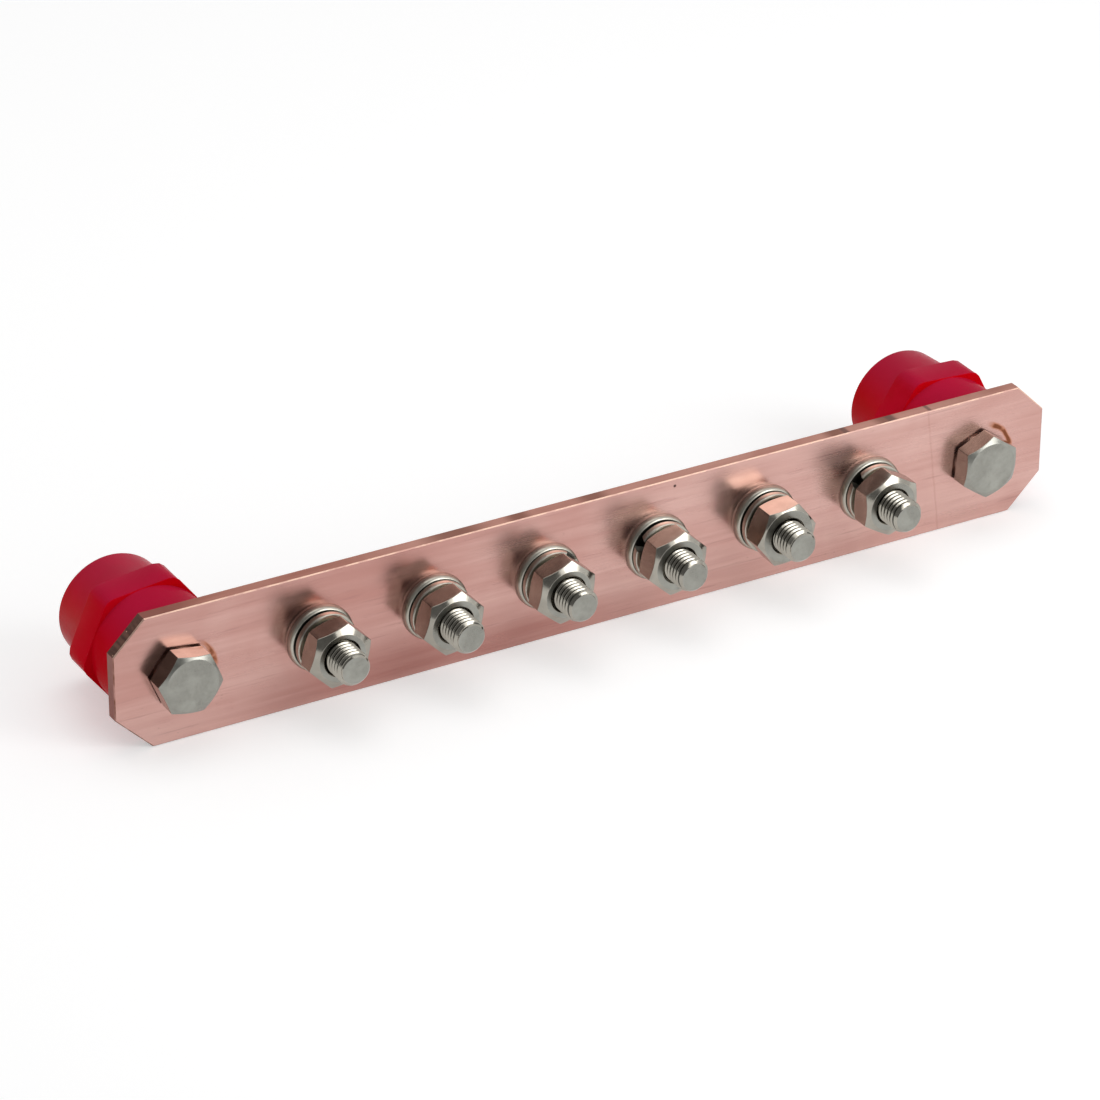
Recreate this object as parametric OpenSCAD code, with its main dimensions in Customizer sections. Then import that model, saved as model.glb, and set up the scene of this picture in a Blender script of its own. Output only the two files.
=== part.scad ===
// Earthing busbar for a rack or cabinet: a flat copper bar that stands off the wall on two
// moulded insulators and carries a row of M10 studs, each dressed with a flat washer, a split
// spring washer and a nut. All sizes are in millimetres.
//
// Frame: +X runs along the bar, +Z is up, and +Y points from the bar to the wall. The origin is
// half way between the two fixing threads, on the wall faces of the insulators.

/* [Copper bar] */
// Length of the bar
bar_l = 300; // [260:5:400]
// Height of the bar
bar_h = 40; // [36:1:60]
// Thickness of the bar
bar_t = 4; // [3:0.5:10]
// Length cut off each side of the top left corner
top_left_cut = 9.5; // [4:0.5:14]
// Length cut off each side of the top right corner
top_right_cut = 9; // [4:0.5:14]
// Length cut off each side of the bottom left corner
bottom_left_cut = 11; // [4:0.5:14]
// Length cut off each side of the bottom right corner
bottom_right_cut = 10.5; // [4:0.5:14]
// Width of the broken edge all round
edge_break = 0.3; // [0.1:0.05:0.6]
// How much wider than the thread the holes in the bar are
hole_play = 1; // [0.4:0.1:2]
// Distance from the left end to the left fixing hole
left_inset = 20; // [19:0.5:30]
// Distance from the right end to the right fixing hole
right_inset = 22; // [19:0.5:30]

/* [Row of studs] */
// Number of studs
stud_count = 6; // [2:1:6]
// Distance from the left fixing hole to the first stud
first_gap = 42; // [30:0.5:50]
// Distance from the last stud to the right fixing hole
last_gap = 38; // [30:0.5:50]
// How far a stud stands out of the front of the bar
stud_out = 21; // [18:0.5:40]

/* [Threaded fasteners] */
// Outside diameter of the thread
thread_d = 10; // [9.6:0.1:10.4]
// Diameter of a tapped hole
tapped_d = 8.5; // [8.2:0.1:8.8]
// Radial gap between a screwed-in thread and its tapped hole
thread_gap = 0.05; // [0.02:0.01:0.15]
// Length of the cone at a thread's end
tip_cone = 1; // [0.5:0.1:1.5]
// Width across the flats of the nuts and bolt heads
hex_af = 17; // [16:0.5:19]
// Height of a nut
nut_h = 8; // [6:0.2:10]
// Height of a bolt head
head_h = 7; // [5:0.2:8]
// Slope of the cone that takes the corners off a hexagon, in degrees
corner_slope = 30; // [20:1:35]
// How much smaller than the flats the round face of a hexagon is
face_relief = 0.8; // [0.4:0.1:1.5]
// Thickness of the round bearing face under a bolt head
bearing_t = 0.8; // [0.3:0.1:1]
// How much wider than the thread a nut's countersinks are
sink_play = 0.8; // [0.4:0.1:1.2]
// Half of the countersink's cone angle, in degrees
sink_angle = 60; // [45:1:60]

/* [Washers] */
// Outside diameter of a flat washer
washer_d = 20; // [18:0.5:24]
// Thickness of a flat washer
washer_t = 2; // [1.5:0.1:3]
// How much wider than the thread a flat washer's hole is
washer_play = 0.5; // [0.3:0.1:1]
// Radius of a flat washer's rolled front edge
washer_round = 0.5; // [0.2:0.1:0.7]
// Width of a spring washer's wire
spring_w = 4; // [3:0.1:4.5]
// Thickness of a spring washer's wire
spring_t = 2.2; // [1.8:0.1:3]
// How much wider than the thread a spring washer's hole is
spring_play = 0.3; // [0.2:0.1:0.6]
// How far the ends of the most relaxed spring washer stand apart
spring_rise = 1.3; // [0.4:0.1:2]
// Width of the cut in a spring washer, in degrees
spring_cut = 16; // [8:1:24]
// Lean of the cut from one face of the wire to the other, in degrees
spring_lean = 7; // [0:1:12]

/* [Insulators] */
// Distance from the wall to the back of the bar
standoff = 40; // [36:1:60]
// Diameter of an insulator at the bar
bar_end_d = 37; // [34:0.5:40]
// Diameter of an insulator at the wall
wall_end_d = 32; // [28:0.5:36]
// Broken edge at an insulator's ends
mould_break = 0.6; // [0.2:0.1:1]
// Width across the flats of the hexagonal collar
collar_af = 36; // [34:0.5:40]
// Width of the collar along the insulator
collar_w = 10; // [6:0.5:14]
// Radius of the collar's corners
collar_round = 3.8; // [1:0.2:6]
// Length of thread that an end bolt takes
bolt_grip = 12; // [8:0.5:13]
// Thread left beyond an end bolt's tip
spare_thread = 3; // [1:0.5:4]
// Width across the flats of a threaded insert
insert_af = 15; // [13:0.5:18]
// Diameter of an insert's waist
waist_d = 13; // [11.5:0.5:14]
// Length of an insert's waist
waist_w = 4; // [2:0.5:6]

/* [Hidden] */
$fn = 64;
hexagon = 6;
// Slices along one turn of a spring washer
spring_slices = 36;
// How far a cutting tool runs past what it cuts
overrun = 1;

fixing_spacing = bar_l - left_inset - right_inset;
left_x = -fixing_spacing / 2;
right_x = fixing_spacing / 2;
bar_mid_x = (right_inset - left_inset) / 2;
stud_pitch = (fixing_spacing - first_gap - last_gap) / (stud_count - 1);
hole_d = thread_d + hole_play;
screwed_d = tapped_d - 2 * thread_gap;
insert_l = bolt_grip + spare_thread;
spring_hole_r = (thread_d + spring_play) / 2;
spring_seat = washer_t;

// How each nut, bolt head and insulator happens to be turned: the angle of one corner from +X
// towards +Z, in degrees
nut_turn = [15, 14, 18, 18, 6, 29];
left_bolt_turn = -8;
right_bolt_turn = 24;
left_insulator_turn = 7;
right_insulator_turn = -3;
// Where the cut of each spring washer points, in degrees, and how far its nut lets it relax, as
// a share of spring_rise
spring_turn = [300, 250, 48, 150, 330, 137];
spring_relax = [1, 0.25, 0.25, 0.7, 0.85, 0.45];

STUDS = [1 : stud_count];
SIDES = ["left", "right"];

COPPER = [0.80, 0.60, 0.54];
STAINLESS = [0.68, 0.69, 0.67];
MOULDED_RED = [0.70, 0.03, 0.09];
BRASS = [0.78, 0.64, 0.36];

function stud_x(i) = left_x + first_gap + (i - 1) * stud_pitch;
function fixing_x(side) = side == "left" ? left_x : right_x;
function spring_gap(i) = spring_rise * spring_relax[i - 1];
function nut_seat(i) = spring_seat + spring_t + spring_gap(i);
function nut_top(i) = nut_seat(i) + nut_h;

// Puts its children on the front of the bar at x, with their own +Z pointing to the front
module on_bar_front(x) {
    translate([x, -standoff - bar_t, 0]) rotate([90, 0, 0]) children();
}

// Puts its children on the wall plane at x, with their own +Z pointing to the bar
module on_wall(x) {
    translate([x, 0, 0]) rotate([90, 0, 0]) children();
}

// One pair of straight edges of the bar: a long flat with all four of its edges broken
module broken_flat(width, length) {
    side = width / 2;
    face = bar_t / 2;
    rotate([90, 0, 90]) linear_extrude(length, center = true) polygon([
        [-side, -face + edge_break], [-side + edge_break, -face],
        [side - edge_break, -face], [side, -face + edge_break],
        [side, face - edge_break], [side - edge_break, face],
        [-side + edge_break, face], [-side, face - edge_break]
    ]);
}

// A broken flat laid from corner to corner of the bar, so that its edges cut the top corner on
// one side of it and the bottom corner on the other
module corner_shear(turn, top_cut, bottom_cut) {
    width = (bar_l + bar_h - top_cut - bottom_cut) / sqrt(2);
    shift = (bottom_cut - top_cut) / 2 / sqrt(2);
    rotate([0, 0, turn]) translate([0, shift, 0]) broken_flat(width, 2 * (bar_l + bar_h));
}

// The bar's blank, lying flat: crossed flats leave an oblong with its corners cut off
module bar_blank() {
    intersection() {
        broken_flat(bar_h, 2 * bar_l);
        rotate([0, 0, 90]) broken_flat(bar_l, 2 * bar_h);
        corner_shear(45, top_left_cut, bottom_right_cut);
        corner_shear(-45, top_right_cut, bottom_left_cut);
    }
}

// Copper bar with its two fixing holes and its row of stud holes
module busbar() {
    color(COPPER) difference() {
        on_bar_front(bar_mid_x) translate([0, 0, -bar_t / 2]) bar_blank();
        for (x = concat([left_x, right_x], [for (i = STUDS) stud_x(i)])) {
            on_bar_front(x) translate([0, 0, -bar_t - overrun])
                cylinder(d = hole_d, h = bar_t + 2 * overrun);
        }
    }
}

// Solid of revolution that a hexagon is cut to: cones run off the corners at the top, and at
// the bottom too if both is true
module corner_cone(h, both) {
    face_r = (hex_af - face_relief) / 2;
    reach = hex_af;
    drop = (reach - face_r) * tan(corner_slope);
    rotate_extrude() polygon(concat(
        both ? [[0, 0], [face_r, 0], [reach, drop]] : [[0, 0], [reach, 0]],
        [[reach, h - drop], [face_r, h], [0, h]]
    ));
}

// Hexagonal prism with its corners coned off
module coned_hexagon(h, both) {
    intersection() {
        cylinder(d = hex_af / cos(180 / hexagon), h = h, $fn = hexagon);
        corner_cone(h, both);
    }
}

// Bolt head seated on z = 0, with its round bearing face below
module bolt_head() {
    cylinder(d = hex_af - face_relief, h = bearing_t);
    translate([0, 0, bearing_t]) coned_hexagon(head_h - bearing_t, false);
}

// Tool that leaves a tapped hole from z = 0 to h, countersunk to a diameter at the bottom, and
// at the top too if both is true
module tapped_hole(h, sink_d, both) {
    hole_r = tapped_d / 2;
    sink_h = (sink_d / 2 - hole_r) / tan(sink_angle);
    mouth_r = sink_d / 2 + overrun * tan(sink_angle);
    rotate_extrude() polygon(concat(
        [[0, -overrun], [mouth_r, -overrun], [hole_r, sink_h]],
        both ? [[hole_r, h - sink_h], [mouth_r, h + overrun]] : [[hole_r, h + overrun]],
        [[0, h + overrun]]
    ));
}

// Nut seated on z = 0, coned and countersunk on both sides
module nut_body() {
    difference() {
        coned_hexagon(nut_h, true);
        tapped_hole(nut_h, thread_d + sink_play, true);
    }
}

module nut(i) {
    color(STAINLESS) on_bar_front(stud_x(i)) translate([0, 0, nut_seat(i)])
        rotate([0, 0, nut_turn[i - 1]]) nut_body();
}

// Stamped washer: the punch rolls the outer front edge and leaves the back sharp
module flat_washer(i) {
    outer_r = washer_d / 2;
    inner_r = (thread_d + washer_play) / 2;
    color(STAINLESS) on_bar_front(stud_x(i)) rotate_extrude() {
        translate([inner_r, 0]) square([outer_r - inner_r, washer_t - washer_round]);
        translate([inner_r, 0]) square([outer_r - inner_r - washer_round, washer_t]);
        translate([outer_r - washer_round, washer_t - washer_round]) circle(washer_round);
    }
}

// Four corners of the wire at a share s of the way round a spring washer that climbs by rise
function wire_corners(s, rise) = [
    for (c = [[0, 0], [spring_w, 0], [spring_w, spring_t], [0, spring_t]])
        let (turn = spring_cut / 2 + s * (360 - spring_cut - spring_lean) + spring_lean * c.y / spring_t)
        [(spring_hole_r + c.x) * cos(turn), (spring_hole_r + c.x) * sin(turn), s * rise + c.y]
];

// Split spring washer: one turn of square-edged wire, cut across and sprung into a short helix
module split_ring(rise) {
    corners = 4;
    points = [for (k = [0 : spring_slices]) each wire_corners(k / spring_slices, rise)];
    sides = [
        for (k = [0 : spring_slices - 1], c = [0 : corners - 1])
            let (a = k * corners + c, b = k * corners + (c + 1) % corners)
            each [[a, b + corners, b], [a, a + corners, b + corners]]
    ];
    last = spring_slices * corners;
    ends = [[0, 1, 2], [0, 2, 3], [last, last + 2, last + 1], [last, last + 3, last + 2]];
    polyhedron(points, concat(sides, ends));
}

module spring_washer(i) {
    color(STAINLESS) on_bar_front(stud_x(i)) translate([0, 0, spring_seat])
        rotate([0, 0, spring_turn[i - 1]]) split_ring(spring_gap(i));
}

// Stud: a bolt put in from the back of the bar. Its thread is drawn at full diameter, and at its
// root where the nut is screwed on
module stud_bolt(i) {
    full_r = thread_d / 2;
    screwed_r = screwed_d / 2;
    color(STAINLESS) on_bar_front(stud_x(i)) {
        rotate_extrude() polygon([
            [0, -bar_t], [full_r, -bar_t],
            [full_r, nut_seat(i)], [screwed_r, nut_seat(i)],
            [screwed_r, nut_top(i)], [full_r, nut_top(i)],
            [full_r, stud_out - tip_cone], [full_r - tip_cone, stud_out],
            [0, stud_out]
        ]);
        translate([0, 0, -bar_t]) mirror([0, 0, 1]) rotate([0, 0, nut_turn[i - 1]]) bolt_head();
    }
}

// Bolt that holds the bar to an insulator
module end_bolt(side) {
    full_r = thread_d / 2;
    screwed_r = screwed_d / 2;
    tip_z = -bar_t - bolt_grip;
    color(STAINLESS) on_bar_front(fixing_x(side)) {
        rotate([0, 0, side == "left" ? left_bolt_turn : right_bolt_turn]) bolt_head();
        rotate_extrude() polygon([
            [0, 0], [full_r, 0], [full_r, -bar_t], [screwed_r, -bar_t],
            [screwed_r, tip_z + tip_cone], [screwed_r - tip_cone, tip_z], [0, tip_z]
        ]);
    }
}

// Outside of a threaded insert, flush with z = 0: the hexagon stops it turning in the moulding,
// and the waist stops it pulling out
module insert_blank() {
    difference() {
        cylinder(d = insert_af / cos(180 / hexagon), h = insert_l, $fn = hexagon);
        translate([0, 0, (insert_l - waist_w) / 2]) difference() {
            cylinder(d = 2 * insert_af, h = waist_w);
            translate([0, 0, -overrun]) cylinder(d = waist_d, h = waist_w + 2 * overrun);
        }
    }
}

// Puts its children at one end of an insulator, pointing into it
module at_insulator_end(side, end) {
    on_wall(fixing_x(side)) {
        if (end == "back") children();
        if (end == "front") translate([0, 0, standoff]) mirror([0, 0, 1]) children();
    }
}

module insert(side, end) {
    color(BRASS) at_insulator_end(side, end) difference() {
        insert_blank();
        tapped_hole(insert_l, thread_d, false);
    }
}

// Hexagon with rounded corners: three crossed oblongs and a circle in each corner
module rounded_hexagon(af, r) {
    flat_l = (af - 2 * r) * tan(180 / hexagon);
    corner_r = (af / 2 - r) / cos(180 / hexagon);
    for (turn = [0 : 120 : 240]) rotate(turn) square([af, flat_l], center = true);
    for (turn = [0 : 60 : 300]) rotate(turn + 30) translate([corner_r, 0]) circle(r);
}

// Moulded insulator: a drum that tapers from the bar to the wall, with a hexagonal collar half
// way along for the spanner, moulded round an insert at each end
module insulator(side) {
    wall_r = wall_end_d / 2;
    bar_r = bar_end_d / 2;
    turn = side == "left" ? left_insulator_turn : right_insulator_turn;
    color(MOULDED_RED) difference() {
        on_wall(fixing_x(side)) {
            rotate_extrude() polygon([
                [0, 0], [wall_r - mould_break, 0], [wall_r, mould_break],
                [bar_r, standoff - mould_break], [bar_r - mould_break, standoff], [0, standoff]
            ]);
            translate([0, 0, (standoff - collar_w) / 2]) rotate([0, 0, turn - 30])
                linear_extrude(collar_w) rounded_hexagon(collar_af, collar_round);
        }
        at_insulator_end(side, "front") insert_blank();
        at_insulator_end(side, "back") insert_blank();
    }
}

busbar();
for (side = SIDES) {
    insulator(side);
    insert(side, "front");
    insert(side, "back");
    end_bolt(side);
}
for (i = STUDS) {
    stud_bolt(i);
    flat_washer(i);
    spring_washer(i);
    nut(i);
}
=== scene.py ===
import math

import bmesh
import bpy
from mathutils import Matrix, Vector


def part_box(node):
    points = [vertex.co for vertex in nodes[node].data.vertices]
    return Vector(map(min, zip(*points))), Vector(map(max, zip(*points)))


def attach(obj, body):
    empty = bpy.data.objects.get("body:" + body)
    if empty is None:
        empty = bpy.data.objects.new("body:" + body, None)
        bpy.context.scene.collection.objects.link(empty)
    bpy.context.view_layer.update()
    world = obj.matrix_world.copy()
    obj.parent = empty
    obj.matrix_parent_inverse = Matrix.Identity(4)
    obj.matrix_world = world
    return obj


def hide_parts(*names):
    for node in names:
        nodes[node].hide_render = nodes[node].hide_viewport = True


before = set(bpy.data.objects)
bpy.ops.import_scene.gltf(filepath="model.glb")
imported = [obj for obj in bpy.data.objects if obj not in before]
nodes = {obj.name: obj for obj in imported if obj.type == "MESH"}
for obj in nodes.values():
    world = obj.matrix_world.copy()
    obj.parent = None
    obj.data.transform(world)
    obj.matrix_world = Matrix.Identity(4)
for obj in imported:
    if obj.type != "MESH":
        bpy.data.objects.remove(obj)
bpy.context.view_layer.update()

# ---------------------------------------------------------------------------- copper bar
# A length of rolled copper flat, 40 x 4 mm, with its corners sheared off and its edges broken.
# Its faces keep the mill's lengthwise grain under a thin, patchy tarnish. The slit edges are
# browner, and the four sheared corners are dark and torn, with a few bright nicks.

MM = 0.001
BAR_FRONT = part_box("busbar")[0].y
BAR_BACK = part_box("busbar")[1].y
BAR_HALF_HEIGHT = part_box("busbar")[1].z
LEFT_BOLT_X = -129 * MM
RIGHT_BOLT_X = 129 * MM


def add(tree, kind, inputs=None, **settings):
    """Adds a shader node. Inputs are plain values, or sockets to link, by name or number."""
    made = tree.nodes.new(kind)
    for name, value in settings.items():
        setattr(made, name, value)
    for name, value in (inputs or {}).items():
        if isinstance(value, bpy.types.NodeSocket):
            tree.links.new(value, made.inputs[name])
        else:
            made.inputs[name].default_value = value
    return made


def calc(tree, operation, *values):
    """One sum on numbers or sockets."""
    made = add(tree, "ShaderNodeMath", dict(enumerate(values)), operation=operation)
    return made.outputs[0]


def fade(tree, value, low, high, start=0.0, end=1.0):
    """Runs smoothly from start to end while a value goes from low to high."""
    made = add(tree, "ShaderNodeMapRange", {0: value, 1: low, 2: high, 3: start, 4: end},
               interpolation_type="SMOOTHSTEP")
    return made.outputs[0]


def mix(tree, mask, first, second):
    """First colour where the mask is 0, second where it is 1."""
    colours = {6: first, 7: second}
    for number, colour in colours.items():
        if isinstance(colour, tuple):
            colours[number] = (*colour, 1.0)
    made = add(tree, "ShaderNodeMix", {0: mask, **colours}, data_type="RGBA")
    return made.outputs[2]


def new_effect(name, inputs, outputs):
    """Starts a shader group that several finishes share."""
    group = bpy.data.node_groups.new(name, "ShaderNodeTree")
    for socket, kind in inputs.items():
        group.interface.new_socket(socket, in_out="INPUT", socket_type="NodeSocket" + kind)
    for socket in outputs:
        group.interface.new_socket(socket, in_out="OUTPUT", socket_type="NodeSocketFloat")
    taken = group.nodes.new("NodeGroupInput").outputs
    given = group.nodes.new("NodeGroupOutput").inputs
    return group, taken, given


def use_effect(tree, group, inputs):
    """Places a shared effect in a finish with its own values."""
    made = tree.nodes.new("ShaderNodeGroup")
    made.node_tree = group
    for name, value in inputs.items():
        if isinstance(value, bpy.types.NodeSocket):
            tree.links.new(value, made.inputs[name])
        else:
            made.inputs[name].default_value = value
    return made.outputs


def new_finish(name):
    """Starts a material: its tree, its shader and the place on the piece in metres."""
    finish = bpy.data.materials.new(name)
    finish.use_nodes = True
    tree = finish.node_tree
    place = add(tree, "ShaderNodeTexCoord")
    return finish, tree, tree.nodes["Principled BSDF"], place


# Grain drawn out along one direction: streaks of tone, and fine scratches among them
grain, taken, given = new_effect(
    "drawn grain", {"Place": "Vector", "Density": "Vector"}, ["Streaks", "Scratches"])
drawn_out = add(grain, "ShaderNodeVectorMath", {0: taken["Place"], 1: taken["Density"]},
                operation="MULTIPLY").outputs[0]
streak_noise = add(grain, "ShaderNodeTexNoise",
                   {"Vector": drawn_out, "Scale": 1.0, "Detail": 5.0, "Roughness": 0.62})
scratch_place = add(grain, "ShaderNodeVectorMath", {0: drawn_out, 1: (2.6, 2.6, 2.6), 2: (7.3, 1.9, 4.4)},
                    operation="MULTIPLY_ADD").outputs[0]
scratch_noise = add(grain, "ShaderNodeTexNoise",
                    {"Vector": scratch_place, "Scale": 1.0, "Detail": 2.0, "Roughness": 0.5})
grain.links.new(fade(grain, streak_noise.outputs[0], 0.3, 0.7), given["Streaks"])
grain.links.new(fade(grain, scratch_noise.outputs[0], 0.64, 0.72), given["Scratches"])

# Marks of handling: soft smudges, and small specks scattered here and there
handling, taken, given = new_effect(
    "handling marks", {"Place": "Vector", "Scale": "Float"}, ["Smudges", "Specks"])
smudge_noise = add(handling, "ShaderNodeTexNoise",
                   {"Vector": taken["Place"], "Scale": taken["Scale"], "Detail": 4.0,
                    "Roughness": 0.55, "Distortion": 0.5})
speck_cells = add(handling, "ShaderNodeTexVoronoi",
                  {"Vector": taken["Place"], "Scale": calc(handling, "MULTIPLY", taken["Scale"], 9.0)})
chosen = add(handling, "ShaderNodeSeparateColor", {0: speck_cells.outputs["Color"]}).outputs[0]
speck = calc(handling, "MULTIPLY", fade(handling, speck_cells.outputs["Distance"], 0.10, 0.16, 1.0, 0.0),
             fade(handling, chosen, 0.80, 0.84))
handling.links.new(fade(handling, smudge_noise.outputs[0], 0.35, 0.68), given["Smudges"])
handling.links.new(speck, given["Specks"])


def patch(tree, spot, centre, reach, soft=0.5):
    """A soft-edged oval patch, placed and sized in mm: 1 inside it, 0 outside."""
    away = add(tree, "ShaderNodeVectorMath", {0: spot, 1: [part * MM for part in centre]},
               operation="SUBTRACT").outputs[0]
    away = add(tree, "ShaderNodeVectorMath", {0: away, 1: [part * MM for part in reach]},
               operation="DIVIDE").outputs[0]
    away = add(tree, "ShaderNodeVectorMath", {0: away}, operation="LENGTH").outputs[1]
    return fade(tree, away, 1 - soft, 1 + soft, 1.0, 0.0)


def ring_stain(tree, spot, wander, middle, radius, spread, low, high):
    """A stain that follows part of a circle round a bolt, from one angle to another."""
    offset = add(tree, "ShaderNodeVectorMath", {0: spot, 1: (middle, 0, 0)}, operation="SUBTRACT")
    parts = add(tree, "ShaderNodeSeparateXYZ", {0: offset.outputs[0]}).outputs
    angle = calc(tree, "ARCTAN2", parts[2], parts[0])
    reach = calc(tree, "SQRT", calc(tree, "ADD", calc(tree, "POWER", parts[0], 2.0),
                                    calc(tree, "POWER", parts[2], 2.0)))
    reach = calc(tree, "ADD", reach, calc(tree, "MULTIPLY", wander, 1.6 * MM))
    band = fade(tree, calc(tree, "ABSOLUTE", calc(tree, "SUBTRACT", reach, radius)),
                spread * 0.3, spread, 1.0, 0.0)
    sweep = calc(tree, "MULTIPLY", fade(tree, angle, math.radians(low - 8), math.radians(low + 8)),
                 fade(tree, angle, math.radians(high - 10), math.radians(high + 10), 1.0, 0.0))
    return calc(tree, "MULTIPLY", band, sweep)


copper, tree, shader, place = new_finish("rolled copper")
spot = place.outputs["Object"]
x, _, z = add(tree, "ShaderNodeSeparateXYZ", {0: spot}).outputs
facing = add(tree, "ShaderNodeSeparateXYZ", {0: place.outputs["Normal"]})
mill = use_effect(tree, grain, {"Place": spot, "Density": (20.0, 650.0, 650.0)})
broad = use_effect(tree, grain, {"Place": spot, "Density": (9.0, 140.0, 140.0)})
marks = use_effect(tree, handling, {"Place": spot, "Scale": 20.0})
fine_marks = use_effect(tree, handling, {"Place": spot, "Scale": 75.0})
# The face runs from a deeper pink at the left to a paler one at the right, a painted reflection of the
# lamps. It is paler along the bottom at the left, painted light that offsets the floor's reflected shadow,
# and has a redder blush low down between the left bolt and the third stud
tone = fade(tree, x, -30 * MM, 70 * MM, 0.46, 0.76)
# Painted light: the bottom of the face is made paler, most at the left
painted_light_low = calc(tree, "MULTIPLY", fade(tree, z, 6 * MM, -20 * MM),
             fade(tree, x, -60 * MM, 80 * MM, 0.62, 0.20))
tone = calc(tree, "ADD", tone, painted_light_low)
tone = calc(tree, "ADD", tone, fade(tree, x, 105 * MM, 145 * MM, 0.0, -0.18))
tone = calc(tree, "ADD", tone, calc(tree, "MULTIPLY", calc(tree, "SUBTRACT", broad["Streaks"], 0.5), 0.42))
tone = calc(tree, "ADD", tone, calc(tree, "MULTIPLY", calc(tree, "SUBTRACT", marks["Smudges"], 0.5), 0.42))
face = mix(tree, tone, (0.490, 0.245, 0.212), (0.672, 0.425, 0.380))
blush = calc(tree, "MAXIMUM", patch(tree, spot, (-66, -44, -15), (40, 99, 8), 0.8),
             patch(tree, spot, (-24, -44, -17), (34, 99, 6), 0.8))
blush = calc(tree, "MULTIPLY", blush, calc(tree, "ADD", calc(tree, "MULTIPLY", broad["Streaks"], 0.4), 0.40))
face = mix(tree, blush, face, (0.330, 0.112, 0.092))
face = mix(tree, calc(tree, "MULTIPLY", mill["Streaks"], 0.18), face, (0.430, 0.200, 0.170))
face = mix(tree, calc(tree, "MULTIPLY", mill["Scratches"], 0.26), face, (0.330, 0.160, 0.150))
face = mix(tree, calc(tree, "MULTIPLY", fine_marks["Specks"], 0.30), face, (0.250, 0.120, 0.110))
# Rusty stains have crept out from under both bolt heads
wander = add(tree, "ShaderNodeTexNoise", {"Vector": spot, "Scale": 260.0, "Detail": 3.0}).outputs[0]
wander = calc(tree, "SUBTRACT", wander, 0.5)
stain = calc(tree, "MAXIMUM",
             ring_stain(tree, spot, wander, LEFT_BOLT_X, 10.2 * MM, 1.2 * MM, 2, 52),
             ring_stain(tree, spot, wander, RIGHT_BOLT_X, 11.0 * MM, 1.1 * MM, 8, 70))
stain = calc(tree, "MULTIPLY", stain, fade(tree, wander, -0.30, 0.05, 0.35, 1.0))
face = mix(tree, calc(tree, "MULTIPLY", stain, 0.85), face, (0.420, 0.130, 0.035))
face = mix(tree, fade(tree, stain, 0.72, 1.0, 0.0, 0.7), face, (0.120, 0.035, 0.018))
# A scribed line across the bar between the last stud and the right bolt, and one dark pit
lean = calc(tree, "ADD", calc(tree, "MULTIPLY", z, 0.13), x)
lean = calc(tree, "ADD", lean, calc(tree, "MULTIPLY", wander, 0.7 * MM))
scribed = fade(tree, calc(tree, "ABSOLUTE", calc(tree, "SUBTRACT", lean, 113.1 * MM)),
               0.10 * MM, 0.45 * MM, 1.0, 0.0)
face = mix(tree, calc(tree, "MULTIPLY", scribed, 0.14), face, (0.330, 0.110, 0.070))
face = mix(tree, patch(tree, spot, (25.5, -44, 17.7), (0.42, 9, 0.42)), face, (0.070, 0.035, 0.032))
# The slit edges and the ends are browner, in patches, with a few dark marks across the top
aside = fade(tree, calc(tree, "ABSOLUTE", facing.outputs[1]), 0.35, 0.55, 1.0, 0.0)
edge_marks = use_effect(tree, handling, {"Place": spot, "Scale": 30.0})
edge = mix(tree, broad["Streaks"], (0.290, 0.102, 0.070), (0.430, 0.195, 0.150))
edge = mix(tree, calc(tree, "MULTIPLY", edge_marks["Smudges"], 0.6), edge, (0.500, 0.265, 0.210))
# Tarnished patches along the top, as the middle and half length of each in mm
tarnish = 0.0
for middle, reach in ((-44, 8), (-24, 3), (0, 4), (80, 3), (97, 3)):
    tarnish = calc(tree, "MAXIMUM", tarnish, patch(tree, spot, (middle, -42, 20), (reach, 9, 6), 0.7))
edge = mix(tree, calc(tree, "MULTIPLY", tarnish, 0.75), edge, (0.170, 0.058, 0.034))
edge = mix(tree, fade(tree, x, -133 * MM, -120 * MM, 0.80, 0.0), edge, (0.165, 0.036, 0.022))
crossed = calc(tree, "MAXIMUM", patch(tree, spot, (83, -42, 20), (0.9, 9, 4)),
               patch(tree, spot, (98.7, -42, 20), (1.3, 9, 4)))
crossed = calc(tree, "MAXIMUM", crossed, patch(tree, spot, (111.5, -42, 20), (0.6, 9, 4)))
edge = mix(tree, calc(tree, "MULTIPLY", crossed, 0.75), edge, (0.120, 0.055, 0.045))
colour = mix(tree, aside, face, edge)
# The broken edge along the top is painted bright as a highlight, and the one along the bottom is painted
# dark as shade
broken = calc(tree, "MULTIPLY", fade(tree, calc(tree, "ABSOLUTE", facing.outputs[1]), 0.80, 0.92, 1.0, 0.0),
              calc(tree, "SUBTRACT", 1.0, aside))
painted_edge_highlight_and_shade = mix(tree, fade(tree, facing.outputs[2], 0.0, 0.4),
             (0.200, 0.085, 0.055), (0.800, 0.560, 0.440))
unevenly = fade(tree, wander, -0.15, 0.10, 0.20, 0.90)
colour = mix(tree, calc(tree, "MULTIPLY", broken, unevenly), colour, painted_edge_highlight_and_shade)
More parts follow.
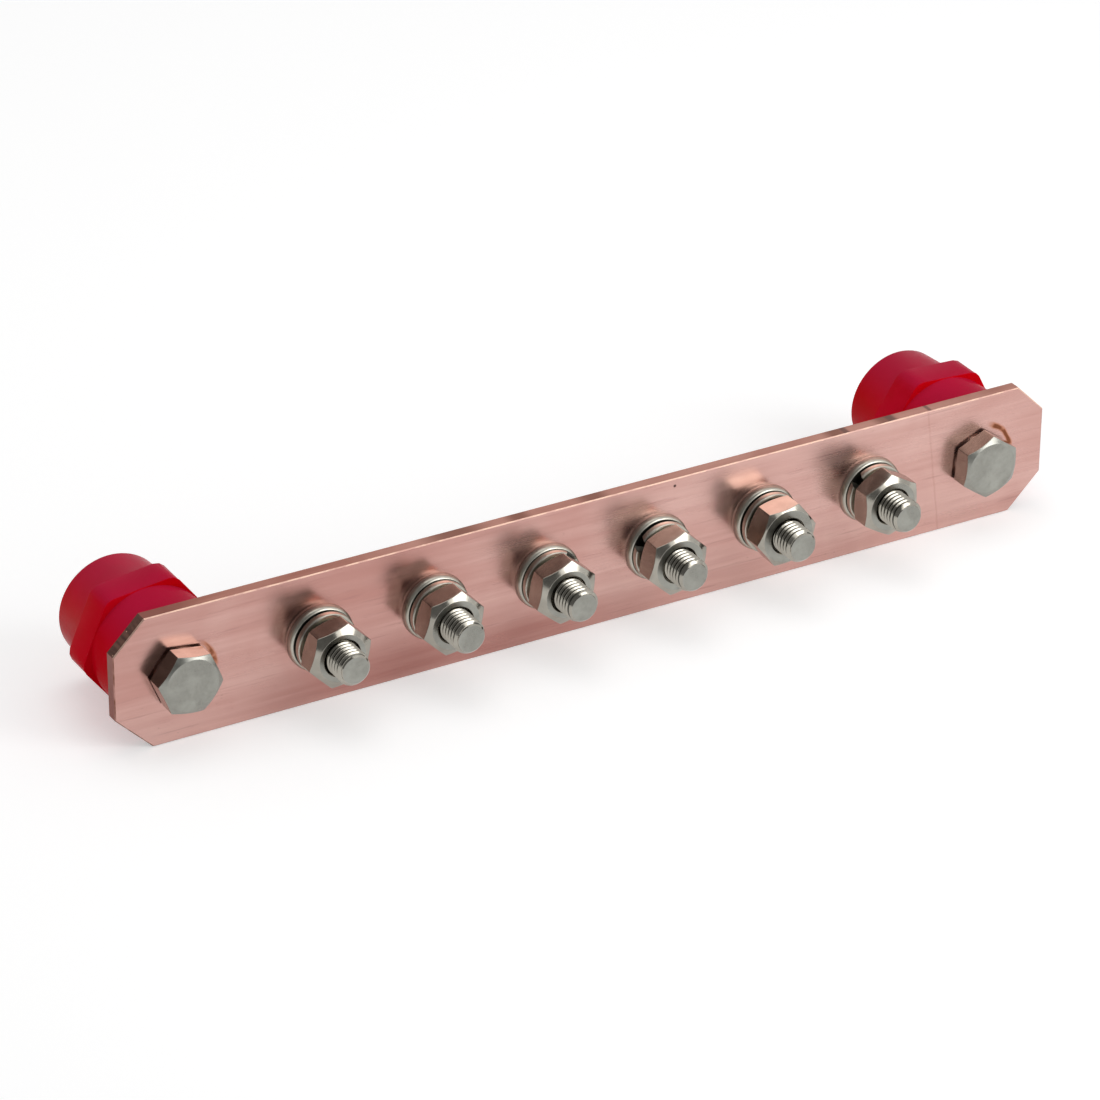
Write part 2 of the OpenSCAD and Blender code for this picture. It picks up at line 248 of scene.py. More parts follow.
# The sheared corners are dark, with torn lines across the cut and a few bright nicks
slanting = calc(tree, "MULTIPLY", calc(tree, "ABSOLUTE", facing.outputs[0]),
                calc(tree, "ABSOLUTE", facing.outputs[2]))
sheared = calc(tree, "MULTIPLY", fade(tree, slanting, 0.30, 0.42), aside)
torn = use_effect(tree, grain, {"Place": spot, "Density": (900.0, 160.0, 900.0)})
nicks = use_effect(tree, handling, {"Place": spot, "Scale": 110.0})
cut = mix(tree, torn["Streaks"], (0.045, 0.020, 0.015), (0.120, 0.056, 0.040))
cut = mix(tree, nicks["Specks"], cut, (0.760, 0.500, 0.360))
colour = mix(tree, sheared, colour, cut)
tree.links.new(colour, shader.inputs["Base Color"])
shader.inputs["Metallic"].default_value = 1.0
dull = calc(tree, "ADD", calc(tree, "MULTIPLY", mill["Streaks"], 0.05),
            calc(tree, "MULTIPLY", marks["Smudges"], 0.06))
dull = calc(tree, "ADD", dull, calc(tree, "MULTIPLY", aside, 0.18))
dull = calc(tree, "ADD", dull, calc(tree, "MULTIPLY", stain, 0.2))
dull = calc(tree, "ADD", dull, calc(tree, "MULTIPLY", broken, 0.30))
tree.links.new(calc(tree, "ADD", dull, 0.19), shader.inputs["Roughness"])
ridges = calc(tree, "ADD", mill["Streaks"], calc(tree, "MULTIPLY", mill["Scratches"], -0.8))
ridges = calc(tree, "ADD", ridges, calc(tree, "MULTIPLY", scribed, -1.5))
torn_ridges = calc(tree, "MULTIPLY", torn["Streaks"], sheared)
ridges = calc(tree, "ADD", ridges, calc(tree, "MULTIPLY", torn_ridges, 50.0))
relief = add(tree, "ShaderNodeBump", {"Height": ridges, "Strength": 0.4, "Distance": 0.0007 * MM})
tree.links.new(relief.outputs[0], shader.inputs["Normal"])

nodes["busbar"].material_slots[0].material = copper

# ---------------------------------------------------------------------------- insulators
# Two stand-off drums of deep red moulded polyester, tapering to the wall, each with a rounded
# hexagonal collar for a spanner. The mould halves meet at the collar's front, where a thin line
# of flash stands up. The brass inserts are moulded into shallow wells in both ends.

AROUND = 72
COLLAR_FLATS = 36 * MM
COLLAR_CORNER = 3.8 * MM
WALL_END_RADIUS = 16 * MM
BAR_END_RADIUS = 18.5 * MM
STANDOFF = -BAR_BACK
MOULD_BREAK = 0.6 * MM
COLLAR_START = 15 * MM
COLLAR_END = 25 * MM
FLASH = 0.14 * MM
COLLAR_ROW = 30 * MM
insulator_turns = {"left": 7.0, "right": -3.0}


def spun(outline, closed=False):
    """Spins an outline of (radius, height) round the Z axis."""
    shape = bmesh.new()
    points = [shape.verts.new((radius, 0, height)) for radius, height in outline]
    for first, second in zip(points, points[1:]):
        shape.edges.new((first, second))
    if closed:
        shape.edges.new((points[-1], points[0]))
    bmesh.ops.spin(shape, geom=shape.verts[:] + shape.edges[:], cent=(0, 0, 0), axis=(0, 0, 1),
                   dvec=(0, 0, 0), angle=2 * math.pi, steps=AROUND, use_merge=True,
                   use_duplicate=False)
    bmesh.ops.remove_doubles(shape, verts=shape.verts[:], dist=0.001 * MM)
    return shape


def fitted(shape, name, place, finishes, replaced=(), bevel=0.0):
    """Turns a finished shape into a piece on the bar or the wall and hands it to the frame."""
    bmesh.ops.transform(shape, matrix=place, verts=shape.verts[:])
    bmesh.ops.recalc_face_normals(shape, faces=shape.faces[:])
    mesh = bpy.data.meshes.new(name)
    shape.to_mesh(mesh)
    shape.free()
    for finish in finishes:
        mesh.materials.append(finish)
    mesh.shade_smooth()
    mesh.set_sharp_from_angle(angle=math.radians(28))
    piece = bpy.data.objects.new(name, mesh)
    bpy.context.scene.collection.objects.link(piece)
    if bevel:
        rounding = piece.modifiers.new("broken edges", "BEVEL")
        rounding.width = bevel
        rounding.segments = 2
        rounding.limit_method = "ANGLE"
        rounding.angle_limit = math.radians(22)
        rounding.harden_normals = True
    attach(piece, "root")
    if replaced:
        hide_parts(*replaced)
    return piece


def at_wall(x):
    """Place on the wall plane, with the piece's own Z pointing to the bar."""
    return Matrix.Translation((x, 0, 0)) @ Matrix.Rotation(math.radians(90), 4, "X")


def rounded_hexagon(angle, flats, corner):
    """Radius of a hexagon with rounded corners, one of them at angle 0."""
    sector = math.radians(60)
    from_corner = angle % sector
    from_corner = min(from_corner, sector - from_corner)
    centre = (flats / 2 - corner) / math.cos(sector / 2)
    from_flat = sector / 2 - from_corner
    if math.tan(from_flat) * flats / 2 <= (flats / 2 - corner) * math.tan(sector / 2):
        return flats / 2 / math.cos(from_flat)
    return centre * math.cos(from_corner) + math.sqrt(
        corner ** 2 - (centre * math.sin(from_corner)) ** 2)


moulded, tree, shader, place = new_finish("red moulded polyester")
spot = place.outputs["Object"]
marks = use_effect(tree, handling, {"Place": spot, "Scale": 60.0})
dust = use_effect(tree, handling, {"Place": spot, "Scale": 210.0})
up = add(tree, "ShaderNodeSeparateXYZ", {0: place.outputs["Normal"]}).outputs[2]
red = mix(tree, marks["Smudges"], (0.560, 0.001, 0.004), (0.620, 0.002, 0.012))
# Upward-facing surfaces shift to a violet grey: painted sheen, the room's reflection painted into the colour
painted_top_sheen = calc(tree, "MULTIPLY", fade(tree, up, 0.30, 1.0), 0.30)
red = mix(tree, painted_top_sheen, red, (0.300, 0.030, 0.130))
red = mix(tree, calc(tree, "MULTIPLY", dust["Specks"], 0.25), red, (0.560, 0.120, 0.160))
tree.links.new(red, shader.inputs["Base Color"])
gloss = calc(tree, "ADD", calc(tree, "MULTIPLY", marks["Smudges"], 0.10), 0.14)
gloss = calc(tree, "ADD", gloss, calc(tree, "MULTIPLY", dust["Specks"], 0.3))
tree.links.new(gloss, shader.inputs["Roughness"])
ripple = add(tree, "ShaderNodeTexNoise", {"Vector": spot, "Scale": 240.0, "Detail": 2.0})
relief = add(tree, "ShaderNodeBump", {"Height": ripple.outputs[0], "Strength": 0.35,
                                      "Distance": 0.05 * MM})
tree.links.new(relief.outputs[0], shader.inputs["Normal"])
shader.inputs["IOR"].default_value = 1.5
shader.inputs["Specular IOR Level"].default_value = 0.005
shader.inputs["Specular Tint"].default_value = (0.80, 0.45, 1.0, 1.0)


def drum_radius(height):
    """The drum's taper from the wall to the bar."""
    share = (height - MOULD_BREAK) / (STANDOFF - 2 * MOULD_BREAK)
    return WALL_END_RADIUS + (BAR_END_RADIUS - WALL_END_RADIUS) * share


insert_well = 9.1 * MM
insert_hole = 7.0 * MM
well_depth = 0.2 * MM
fillet = 0.5 * MM
half = fillet * 0.3
for side, x in (("left", LEFT_BOLT_X), ("right", RIGHT_BOLT_X)):
    outline = [
        (insert_hole, well_depth), (insert_well - well_depth, well_depth), (insert_well, 0),
        (WALL_END_RADIUS - MOULD_BREAK, 0), (WALL_END_RADIUS - MOULD_BREAK * 0.3, MOULD_BREAK * 0.3),
        (WALL_END_RADIUS, MOULD_BREAK),
        (drum_radius(COLLAR_START - fillet), COLLAR_START - fillet),
        (drum_radius(COLLAR_START - half) + half, COLLAR_START - half),
        (COLLAR_ROW - fillet, COLLAR_START), (COLLAR_ROW - half - FLASH, COLLAR_START + half),
        (COLLAR_ROW - FLASH, COLLAR_START + fillet),
        (COLLAR_ROW - FLASH, COLLAR_END - 3 * FLASH), (COLLAR_ROW - FLASH / 4, COLLAR_END - 2 * FLASH),
        (COLLAR_ROW, COLLAR_END - FLASH), (COLLAR_ROW - FLASH, COLLAR_END),
        (drum_radius(COLLAR_END + half) + half, COLLAR_END + half / 2),
        (drum_radius(COLLAR_END + fillet), COLLAR_END + fillet),
        (BAR_END_RADIUS, STANDOFF - MOULD_BREAK), (BAR_END_RADIUS - MOULD_BREAK, STANDOFF),
        (insert_well, STANDOFF), (insert_well - well_depth, STANDOFF - well_depth),
        (insert_hole, STANDOFF - well_depth),
    ]
    drum = spun(outline, closed=True)
    for point in drum.verts:
        radius = math.hypot(point.co.x, point.co.y)
        if radius > BAR_END_RADIUS + 5 * MM:
            angle = math.atan2(point.co.y, point.co.x)
            hexagon = rounded_hexagon(angle, COLLAR_FLATS, COLLAR_CORNER)
            wanted = hexagon + radius - COLLAR_ROW
            point.co.x *= wanted / radius
            point.co.y *= wanted / radius
    turned = at_wall(x) @ Matrix.Rotation(math.radians(insulator_turns[side]), 4, "Z")
    fitted(drum, "moulded_insulator_" + side, turned, [moulded],
           ["insulator_" + side])

# ---------------------------------------------------------------------------- threaded inserts
# Hexagonal brass bushes turned from bar and moulded into both ends of each insulator. The front
# pair hold the end bolts; the back pair take the screws that fix the whole bar to a frame.

brass, tree, shader, place = new_finish("turned brass")
spot = place.outputs["Object"]
along = add(tree, "ShaderNodeSeparateXYZ", {0: spot})
off_axis = calc(tree, "ABSOLUTE", along.outputs[0])
off_axis = calc(tree, "SUBTRACT", off_axis, RIGHT_BOLT_X)
from_axis = add(tree, "ShaderNodeCombineXYZ", {0: off_axis, 1: 0.0, 2: along.outputs[2]})
from_axis = add(tree, "ShaderNodeVectorMath", {0: from_axis.outputs[0]}, operation="LENGTH").outputs[1]
rings = add(tree, "ShaderNodeCombineXYZ", {0: from_axis, 1: 0.0, 2: 0.0}).outputs[0]
turning = use_effect(tree, grain, {"Place": rings, "Density": (9000.0, 1.0, 1.0)})
marks = use_effect(tree, handling, {"Place": spot, "Scale": 160.0})
yellow = mix(tree, turning["Streaks"], (0.520, 0.340, 0.110), (0.640, 0.450, 0.170))
yellow = mix(tree, calc(tree, "MULTIPLY", marks["Smudges"], 0.4), yellow, (0.400, 0.250, 0.090))
tree.links.new(yellow, shader.inputs["Base Color"])
shader.inputs["Metallic"].default_value = 1.0
tree.links.new(calc(tree, "ADD", calc(tree, "MULTIPLY", marks["Smudges"], 0.15), 0.22),
               shader.inputs["Roughness"])
relief = add(tree, "ShaderNodeBump", {"Height": turning["Streaks"], "Strength": 0.5,
                                      "Distance": 0.01 * MM})
tree.links.new(relief.outputs[0], shader.inputs["Normal"])

for side in ("left", "right"):
    for end in ("back", "front"):
        nodes[f"insert_{side}_{end}"].material_slots[0].material = brass

# ---------------------------------------------------------------------------- end bolts
# Two hexagon-head stainless bolts that hold the bar to the insulators. The heads are forged:
# flat, slightly mottled tops with their corners coned off, smooth drawn flats, and a round
# bearing face that keeps the hexagon just off the copper.

HEX_FLATS = 17 * MM
FACE_RADIUS = 8.1 * MM
CORNER_SLOPE = math.tan(math.radians(30))
HEAD_HEIGHT = 7 * MM
HEAD_FACE = 7.8 * MM
BEARING = 0.8 * MM
THREAD_RADIUS = 5 * MM
SCREWED_RADIUS = 4.2 * MM
HEX_ROW = 14 * MM
bolt_turns = {"left": -8.0, "right": 24.7}


def at_bar(x, turn=0.0):
    """Place on the front of the bar, with the piece's own Z pointing to the front."""
    return (Matrix.Translation((x, BAR_FRONT, 0)) @ Matrix.Rotation(math.radians(90), 4, "X")
            @ Matrix.Rotation(math.radians(turn), 4, "Z"))


def shape_hexagon(shape, top, bottom=None, face_radius=FACE_RADIUS):
    """Brings the outermost rows in to a hexagon whose corners are coned off at the top, and at
    the bottom where that is given."""
    for point in shape.verts:
        radius = math.hypot(point.co.x, point.co.y)
        if radius < HEX_ROW - MM:
            continue
        angle = math.atan2(point.co.y, point.co.x)
        wanted = rounded_hexagon(angle, HEX_FLATS, 0.25 * MM)
        drop = (wanted - face_radius) * CORNER_SLOPE
        if abs(point.co.z - top) < MM:
            point.co.z = top - drop
        elif bottom is not None:
            point.co.z = bottom + drop
        point.co.x *= wanted / radius
        point.co.y *= wanted / radius


def give_finishes(shape, steepest=0.95):
    """Flats keep the first finish, and faces square to the axis take the second. A smaller
    limit gives the second finish to the cones as well."""
    shape.normal_update()
    for side in shape.faces:
        side.material_index = 1 if abs(side.normal.z) > steepest else 0


def steel_finish(name, bright, dark, roughness, spread, density):
    """Stainless steel with its own tone, polish and grain."""
    finish, tree, shader, place = new_finish(name)
    spot = place.outputs["Object"]
    drawn = use_effect(tree, grain, {"Place": spot, "Density": density})
    marks = use_effect(tree, handling, {"Place": spot, "Scale": 150.0})
    tone = calc(tree, "ADD", calc(tree, "MULTIPLY", marks["Smudges"], 0.65),
                calc(tree, "MULTIPLY", drawn["Streaks"], 0.35))
    grey = mix(tree, tone, dark, bright)
    grey = mix(tree, calc(tree, "MULTIPLY", marks["Specks"], 0.45), grey, (0.120, 0.115, 0.100))
    tree.links.new(grey, shader.inputs["Base Color"])
    shader.inputs["Metallic"].default_value = 1.0
    tree.links.new(calc(tree, "ADD", calc(tree, "MULTIPLY", tone, spread), roughness),
                   shader.inputs["Roughness"])
    ridges = calc(tree, "ADD", drawn["Streaks"], marks["Smudges"])
    relief = add(tree, "ShaderNodeBump", {"Height": ridges, "Strength": 0.4, "Distance": 0.008 * MM})
    tree.links.new(relief.outputs[0], shader.inputs["Normal"])
    return finish


drawn_steel = steel_finish("drawn stainless steel", (0.400, 0.380, 0.330), (0.310, 0.290, 0.250),
                           0.12, 0.08, (300.0, 300.0, 300.0))
pressed_steel = steel_finish("pressed stainless steel", (0.350, 0.350, 0.315), (0.255, 0.252, 0.225),
                             0.26, 0.10, (500.0, 500.0, 500.0))
# A dark steel that is painted shade: in the thread roots, on the washers' front faces and on the spring
# washers' undersides
painted_shade_steel = steel_finish("painted shade in recesses", (0.120, 0.115, 0.100), (0.060, 0.058, 0.050),
                             0.30, 0.10, (300.0, 300.0, 300.0))
sheared_steel = steel_finish("sheared stainless edge", (0.420, 0.405, 0.360), (0.300, 0.285, 0.250),
                             0.42, 0.12, (120.0, 700.0, 120.0))
tumbled_steel = steel_finish("tumbled stainless steel", (0.530, 0.510, 0.440), (0.420, 0.400, 0.345),
                             0.28, 0.10, (300.0, 300.0, 300.0))

head_bottom = [(FACE_RADIUS, 0), (FACE_RADIUS, BEARING), (HEX_ROW, BEARING)]
DISH = 0.14 * MM
DISH_RADIUS = 5.9 * MM
head_top = [(HEX_ROW, HEAD_HEIGHT), (HEAD_FACE, HEAD_HEIGHT), (DISH_RADIUS, HEAD_HEIGHT),
            (DISH_RADIUS - 0.6 * MM, HEAD_HEIGHT - DISH * 0.8),
            (DISH_RADIUS - 1.5 * MM, HEAD_HEIGHT - DISH), (0, HEAD_HEIGHT - DISH)]
bolt_grip = 12 * MM
bolt_tip = BAR_FRONT - BAR_BACK - bolt_grip
for side, x in (("left", LEFT_BOLT_X), ("right", RIGHT_BOLT_X)):
    outline = [
        (0, bolt_tip), (SCREWED_RADIUS - MM, bolt_tip), (SCREWED_RADIUS, bolt_tip + MM),
        (SCREWED_RADIUS, BAR_FRONT - BAR_BACK), (THREAD_RADIUS, BAR_FRONT - BAR_BACK),
        (THREAD_RADIUS, 0), *head_bottom, *head_top,
    ]
    bolt = spun(outline)
    shape_hexagon(bolt, HEAD_HEIGHT, face_radius=HEAD_FACE)
    give_finishes(bolt, steepest=0.5)
    fitted(bolt, "hexagon_bolt_" + side, at_bar(x, bolt_turns[side]), [drawn_steel, pressed_steel],
           ["end_bolt_" + side], bevel=0.12 * MM)

# ---------------------------------------------------------------------------- studs
# Six stainless hexagon bolts put in from behind, so that their threads stand out of the front
# as studs. The thread is rolled, with bright rounded crests and roots painted dark as shade, and
# runs out on a coned end.

PITCH = 1.5 * MM
STUD_OUT = 21 * MM
TIP_CONE = MM
ROOT_EDGE = 4.45 * MM
SHORT_OF_NUT_TOP = 0.6 * MM
stud_places = [-87.0, -51.4, -15.8, 19.8, 55.4, 91.0]
nut_turns = [14.3, 15.2, 19.6, 16.8, 7.2, 29.5]
thread_turns = [20.0, 75.0, 300.0, 110.0, 250.0, 40.0]
spring_relax = [1.0, 0.25, 0.25, 0.7, 0.85, 0.45]
WASHER_THICK = 2 * MM
SPRING_THICK = 2.2 * MM
SPRING_RISE = 1.3 * MM
NUT_HEIGHT = 8 * MM
thread_outline = [(4.95, 0), (4.99, 0.09), (4.95, 0.19), (4.52, 0.44), (4.12, 0.69), (4.07, 0.84),
                  (4.12, 1.00), (4.52, 1.25), (4.95, 1.50)]


def threaded_end(start, end):
    """A rolled thread from one height to another, open at both ends and coned at the far one.
    Its outline is a list of radii and heights in mm."""
    turns = math.ceil((end - start) / PITCH) + 2
    thread = bmesh.new()
    points = [thread.verts.new((radius * MM, 0, height * MM)) for radius, height in thread_outline]
    for first, second in zip(points, points[1:]):
        thread.edges.new((first, second))
    bmesh.ops.spin(thread, geom=thread.verts[:] + thread.edges[:], cent=(0, 0, 0), axis=(0, 0, 1),
                   dvec=(0, 0, PITCH / AROUND), angle=2 * math.pi * turns, steps=AROUND * turns,
                   use_merge=False, use_duplicate=False)
    bmesh.ops.remove_doubles(thread, verts=thread.verts[:], dist=0.001 * MM)
    bmesh.ops.translate(thread, verts=thread.verts[:], vec=(0, 0, start - PITCH))
    for height, outer in ((start, False), (end, True)):
        bmesh.ops.bisect_plane(thread, geom=thread.verts[:] + thread.edges[:] + thread.faces[:],
                               dist=0.0001 * MM, plane_co=(0, 0, height), plane_no=(0, 0, 1),
                               clear_outer=outer, clear_inner=not outer)
    for point in thread.verts:
        radius = math.hypot(point.co.x, point.co.y)
        limit = THREAD_RADIUS - TIP_CONE + (end - point.co.z)
        if radius > limit:
            point.co.x *= limit / radius
            point.co.y *= limit / radius
    return thread


for number, (x, turn, relax) in enumerate(zip(stud_places, nut_turns, spring_relax), 1):
    nut_seat = WASHER_THICK + SPRING_THICK + SPRING_RISE * relax
    nut_top = nut_seat + NUT_HEIGHT
    thread_start = nut_top - SHORT_OF_NUT_TOP
    stud = threaded_end(thread_start, STUD_OUT)
    bmesh.ops.rotate(stud, verts=stud.verts[:], cent=(0, 0, 0),
                     matrix=Matrix.Rotation(math.radians(thread_turns[number - 1]), 3, "Z"))
    rim = [edge for edge in stud.edges if edge.is_boundary
           and all(abs(point.co.z - STUD_OUT) < 0.01 * MM for point in edge.verts)]
    cap = bmesh.ops.contextual_create(stud, geom=rim)["faces"]
    bmesh.ops.inset_region(stud, faces=cap, thickness=0.35 * MM, depth=0.06 * MM)
    head_under = BAR_FRONT - BAR_BACK
    outline = [(0, head_under - HEAD_HEIGHT), (FACE_RADIUS, head_under - HEAD_HEIGHT),
               (HEX_ROW, head_under - HEAD_HEIGHT), (HEX_ROW, head_under - BEARING),
               (FACE_RADIUS, head_under - BEARING), (FACE_RADIUS, head_under),
               (THREAD_RADIUS, head_under), (THREAD_RADIUS, nut_seat),
               (SCREWED_RADIUS, nut_seat), (SCREWED_RADIUS, thread_start - 0.4 * MM)]
    shank = spun(outline)
    for point in shank.verts:
        radius = math.hypot(point.co.x, point.co.y)
        if radius > HEX_ROW - MM:
            wanted = rounded_hexagon(math.atan2(point.co.y, point.co.x) - math.radians(turn),
                                     HEX_FLATS, 0.25 * MM)
            if point.co.z < head_under - HEAD_HEIGHT + MM:
                point.co.z += (wanted - FACE_RADIUS) * CORNER_SLOPE
            point.co.x *= wanted / radius
            point.co.y *= wanted / radius
    shank_mesh = bpy.data.meshes.new("shank")
    shank.to_mesh(shank_mesh)
    shank.free()
    stud.from_mesh(shank_mesh)
    bpy.data.meshes.remove(shank_mesh)
    joint = [edge for edge in stud.edges if edge.is_boundary]
    bmesh.ops.bridge_loops(stud, edges=joint)
    bmesh.ops.recalc_face_normals(stud, faces=stud.faces[:])
    give_finishes(stud)
    for side in stud.faces:
        middle = side.calc_center_median()
        if thread_start < middle.z < STUD_OUT - TIP_CONE:
            # Faces in the thread roots take the dark steel: painted shade
            side.material_index = 2 if math.hypot(middle.x, middle.y) < ROOT_EDGE else 0
    fitted(stud, f"threaded_stud_{number}", at_bar(x * MM), [drawn_steel, pressed_steel, painted_shade_steel],
           [f"stud_bolt_{number}"])

# ---------------------------------------------------------------------------- flat washers
# Stainless washers stamped from sheet: the punch rolls the front edge over, leaves the back edge
# sharp and shears the rim rough. The front face, under the spring washer, is painted dark as shade.

washer_outer = 10 * MM
washer_inner = 5.25 * MM
roll = 1.1 * MM
roll_deep = 1.75 * MM
washer_outline = [
    (washer_inner, 0), (washer_outer - 0.05 * MM, 0), (washer_outer, 0.05 * MM),
    (washer_outer, WASHER_THICK - roll_deep),
    *[(washer_outer - roll + roll * math.cos(math.radians(angle)),
       WASHER_THICK - roll_deep + roll_deep * math.sin(math.radians(angle)))
      for angle in (15, 30, 45, 60, 75)],
    (washer_outer - roll, WASHER_THICK), (washer_inner + 0.3 * MM, WASHER_THICK),
    (washer_inner, WASHER_THICK - 0.3 * MM),
]
for number, x in enumerate(stud_places, 1):
    washer = spun(washer_outline, closed=True)
    bmesh.ops.recalc_face_normals(washer, faces=washer.faces[:])
    for side in washer.faces:
        # The front face takes the dark steel: painted shade under the spring washer
        side.material_index = 1 if abs(side.normal.z) < 0.1 else 2 if side.normal.z > 0.9 else 0
    fitted(washer, f"stamped_washer_{number}", at_bar(x * MM),
           [tumbled_steel, sheared_steel, painted_shade_steel],
           [f"flat_washer_{number}"])

# ---------------------------------------------------------------------------- spring washers
# Split rings of square stainless wire, cut across and sprung into a short coil. Each nut lets
# its washer stand open by a different amount. The underside is painted dark as shade.

spring_turns = [300.0, 250.0, 48.0, 150.0, 330.0, 137.0]
SPRING_INNER = 5.15 * MM
WIRE = 4 * MM
SPRING_CUT = 16.0
SPRING_LEAN = 7.0
soft = 0.6 * MM
bend = soft * 0.3
wire_outline = [
    (0, soft), (bend, bend), (soft, 0), (WIRE - soft, 0), (WIRE - bend * 1.6, bend * 0.4),
    (WIRE - bend * 0.4, bend * 1.6), (WIRE, soft), (WIRE, SPRING_THICK - soft),
    (WIRE - bend * 0.4, SPRING_THICK - bend * 1.6), (WIRE - bend * 1.6, SPRING_THICK - bend * 0.4),
    (WIRE - soft, SPRING_THICK), (soft, SPRING_THICK), (bend, SPRING_THICK - bend),
    (0, SPRING_THICK - soft),
]
for number, (x, turn, relax) in enumerate(zip(stud_places, spring_turns, spring_relax), 1):
    coil = bmesh.new()
    wire = []
    for out, height in wire_outline:
        lean = math.radians(SPRING_CUT / 2 + SPRING_LEAN * height / SPRING_THICK)
        reach = SPRING_INNER + out
        wire.append(coil.verts.new((reach * math.cos(lean), reach * math.sin(lean), height)))
    first_end = coil.faces.new(wire)
    around = bmesh.ops.spin(
        coil, geom=first_end.edges[:] + wire, cent=(0, 0, 0), axis=(0, 0, 1),
        dvec=(0, 0, SPRING_RISE * relax / AROUND),
        angle=math.radians(360 - SPRING_CUT - SPRING_LEAN), steps=AROUND,
        use_merge=False, use_duplicate=False)
    last_edges = [part for part in around["geom_last"] if isinstance(part, bmesh.types.BMEdge)]
    bmesh.ops.contextual_create(coil, geom=last_edges)
    bmesh.ops.recalc_face_normals(coil, faces=coil.faces[:])
    for side in coil.faces:
        # Faces turned down to the flat washer take the dark steel: painted shade
        side.material_index = 1 if side.normal.z < -0.4 else 0
    seated = at_bar(x * MM, turn) @ Matrix.Translation((0, 0, WASHER_THICK))
    fitted(coil, f"split_washer_{number}", seated, [tumbled_steel, painted_shade_steel],
           [f"spring_washer_{number}"])

# ---------------------------------------------------------------------------- nuts
# Stainless hexagon nuts, coned and countersunk on both sides, with smooth drawn flats and turned
# faces. Each stopped at its own angle when it was run down.

SINK_RADIUS = 5.7 * MM
nut_faces = [7.1, 7.4, 7.1, 7.5, 8.0, 7.4]
TAPPED_RADIUS = 4.25 * MM
sink = (SINK_RADIUS - TAPPED_RADIUS) / math.tan(math.radians(60))
for number, (x, turn, relax) in enumerate(zip(stud_places, nut_turns, spring_relax), 1):
    face = nut_faces[number - 1] * MM
    nut = spun([
        (TAPPED_RADIUS, sink), (SINK_RADIUS, 0), (face, 0), (HEX_ROW, 0), (HEX_ROW, NUT_HEIGHT),
        (face, NUT_HEIGHT), (SINK_RADIUS, NUT_HEIGHT), (TAPPED_RADIUS, NUT_HEIGHT - sink),
    ], closed=True)
    shape_hexagon(nut, NUT_HEIGHT, 0.0, face)
    give_finishes(nut)
    nut_seat = WASHER_THICK + SPRING_THICK + SPRING_RISE * relax
    seated = at_bar(x * MM, turn) @ Matrix.Translation((0, 0, nut_seat))
    fitted(nut, f"hexagon_nut_{number}", seated, [drawn_steel, pressed_steel],
           [f"nut_{number}"], bevel=0.12 * MM)

# ---------------------------------------------------------------------------- studio
# A pale floor and a pale room, two soft boxes at the front right and one overhead, with a long
# lens on the left, above and well back.

floor_shape = bmesh.new()
bmesh.ops.create_grid(floor_shape, x_segments=1, y_segments=1, size=6.0)
bmesh.ops.translate(floor_shape, verts=floor_shape.verts[:],
                    vec=(0, 0, -BAR_HALF_HEIGHT - 0.1 * MM))
floor_mesh = bpy.data.meshes.new("floor")
floor_shape.to_mesh(floor_mesh)
floor_shape.free()
floor = bpy.data.objects.new("floor", floor_mesh)
bpy.context.scene.collection.objects.link(floor)
pale, tree, shader, place = new_finish("pale floor")
shader.inputs["Base Color"].default_value = (0.80, 0.80, 0.80, 1.0)
shader.inputs["Roughness"].default_value = 0.9
shader.inputs["Specular IOR Level"].default_value = 0.1
seen = add(tree, "ShaderNodeLightPath").outputs
shown = calc(tree, "MAXIMUM", seen["Is Camera Ray"], seen["Is Glossy Ray"])
shown = calc(tree, "MAXIMUM", shown, seen["Is Transmission Ray"])
shader.inputs["Emission Color"].default_value = (1.0, 1.0, 1.0, 1.0)
tree.links.new(calc(tree, "MULTIPLY", shown, 0.40), shader.inputs["Emission Strength"])
floor_mesh.materials.append(pale)

world = bpy.data.worlds.new("studio air")
bpy.context.scene.world = world
world.use_nodes = True
tree = world.node_tree
background = tree.nodes["Background"]
background.inputs["Color"].default_value = (1.0, 1.0, 1.0, 1.0)
seen = add(tree, "ShaderNodeLightPath").outputs
shown = calc(tree, "MAXIMUM", seen["Is Camera Ray"], seen["Is Glossy Ray"])
shown = calc(tree, "MAXIMUM", shown, seen["Is Transmission Ray"])
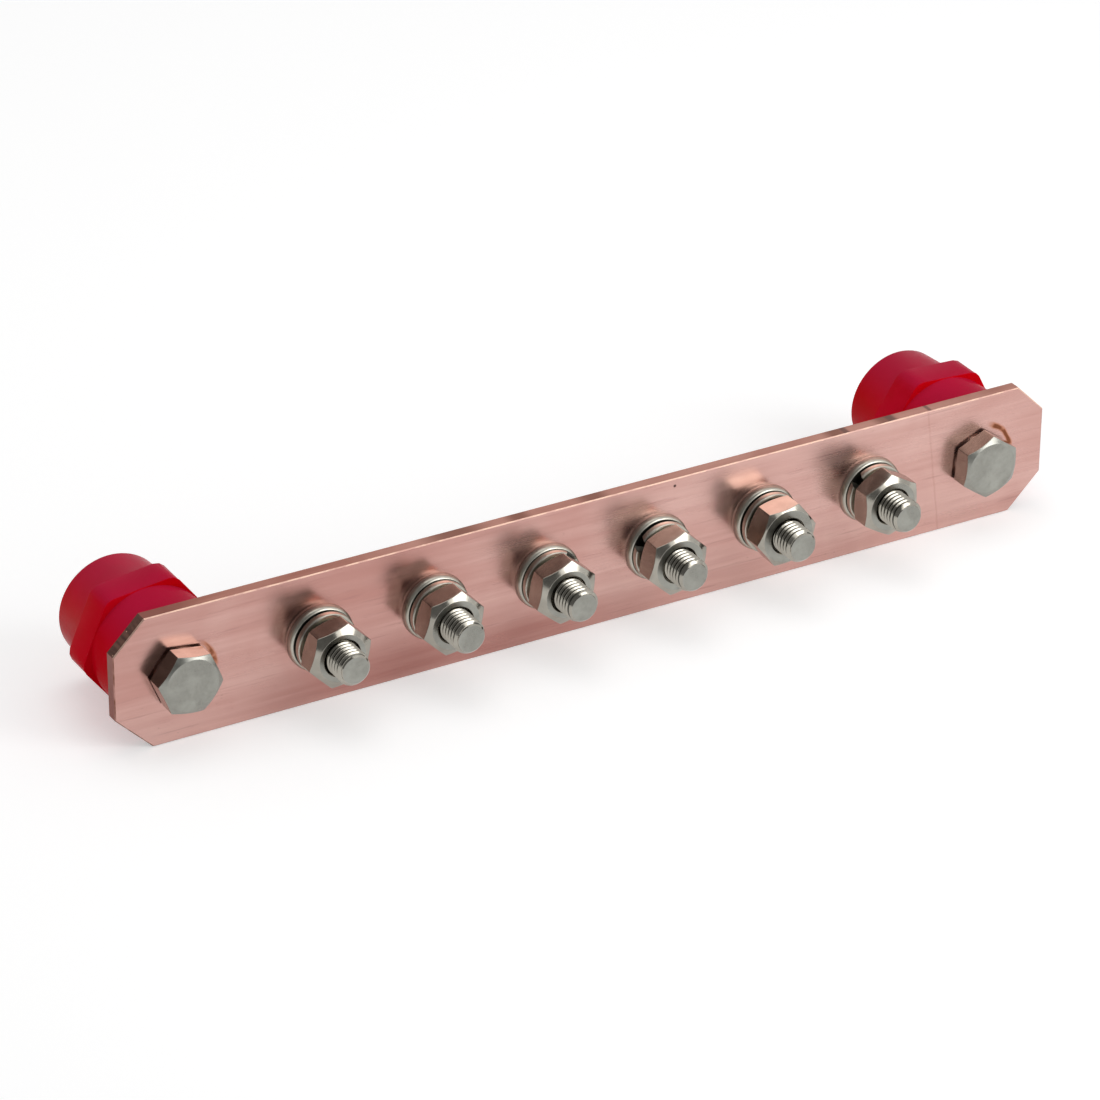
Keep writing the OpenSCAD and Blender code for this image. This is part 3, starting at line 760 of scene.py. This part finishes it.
# The room is dark on the side where the camera and its operator are
towards = add(tree, "ShaderNodeVectorMath",
              {0: add(tree, "ShaderNodeTexCoord").outputs["Generated"], 1: (-0.58, -0.64, 0.50)},
              operation="DOT_PRODUCT").outputs[1]
room = calc(tree, "MAXIMUM", fade(tree, towards, 0.58, 0.74, 1.0, 0.18), seen["Is Camera Ray"])
tree.links.new(add(tree, "ShaderNodeMix", {0: shown, 2: 0.50, 3: room}).outputs[0],
               background.inputs["Strength"])


def soft_lamp(name, place, aim, size, power):
    """A soft box, wide and tall in metres, that looks at a point."""
    data = bpy.data.lights.new(name, "AREA")
    data.shape = "RECTANGLE"
    data.size, data.size_y = size
    data.energy = power
    lamp = bpy.data.objects.new(name, data)
    bpy.context.scene.collection.objects.link(lamp)
    lamp.location = place
    lamp.visible_camera = False
    lamp.rotation_mode = "QUATERNION"
    lamp.rotation_quaternion = (Vector(aim) - Vector(place)).to_track_quat("-Z", "Y")
    return lamp


soft_lamp("wide box", (0.40, -0.70, 0.48), (0.40, 0.0, 0.48), (0.70, 0.70), 2.0)
soft_lamp("key box", (0.46, -0.69, 0.42), (0.46, 0.0, 0.42), (0.50, 0.60), 2.2)
soft_lamp("overhead box", (0.0, 0.25, 1.20), (0.0, 0.0, 0.0), (0.8, 0.8), 2.5)

AIM = Vector((-14.79, -44.0, 7.90)) * MM
DISTANCE = 1.4257
azimuth, elevation, roll = (math.radians(angle) for angle in (-29.943, 28.604, 0.405))
forward = Vector((-math.sin(azimuth) * math.cos(elevation), math.cos(azimuth) * math.cos(elevation),
                  -math.sin(elevation)))
level = Vector((math.cos(azimuth), math.sin(azimuth), 0.0))
upright = level.cross(forward)
right = level * math.cos(roll) + upright * math.sin(roll)
up = right.cross(forward)
lens = bpy.data.cameras.new("long lens")
lens.sensor_width = 36.0
lens.lens = 167.75
lens.clip_start = 0.05
lens.clip_end = 30.0
camera = bpy.data.objects.new("camera", lens)
bpy.context.scene.collection.objects.link(camera)
camera.matrix_world = Matrix((
    (right.x, up.x, -forward.x, AIM.x - forward.x * DISTANCE),
    (right.y, up.y, -forward.y, AIM.y - forward.y * DISTANCE),
    (right.z, up.z, -forward.z, AIM.z - forward.z * DISTANCE),
    (0.0, 0.0, 0.0, 1.0),
))
bpy.context.scene.camera = camera
bpy.context.scene.view_settings.view_transform = "Standard"
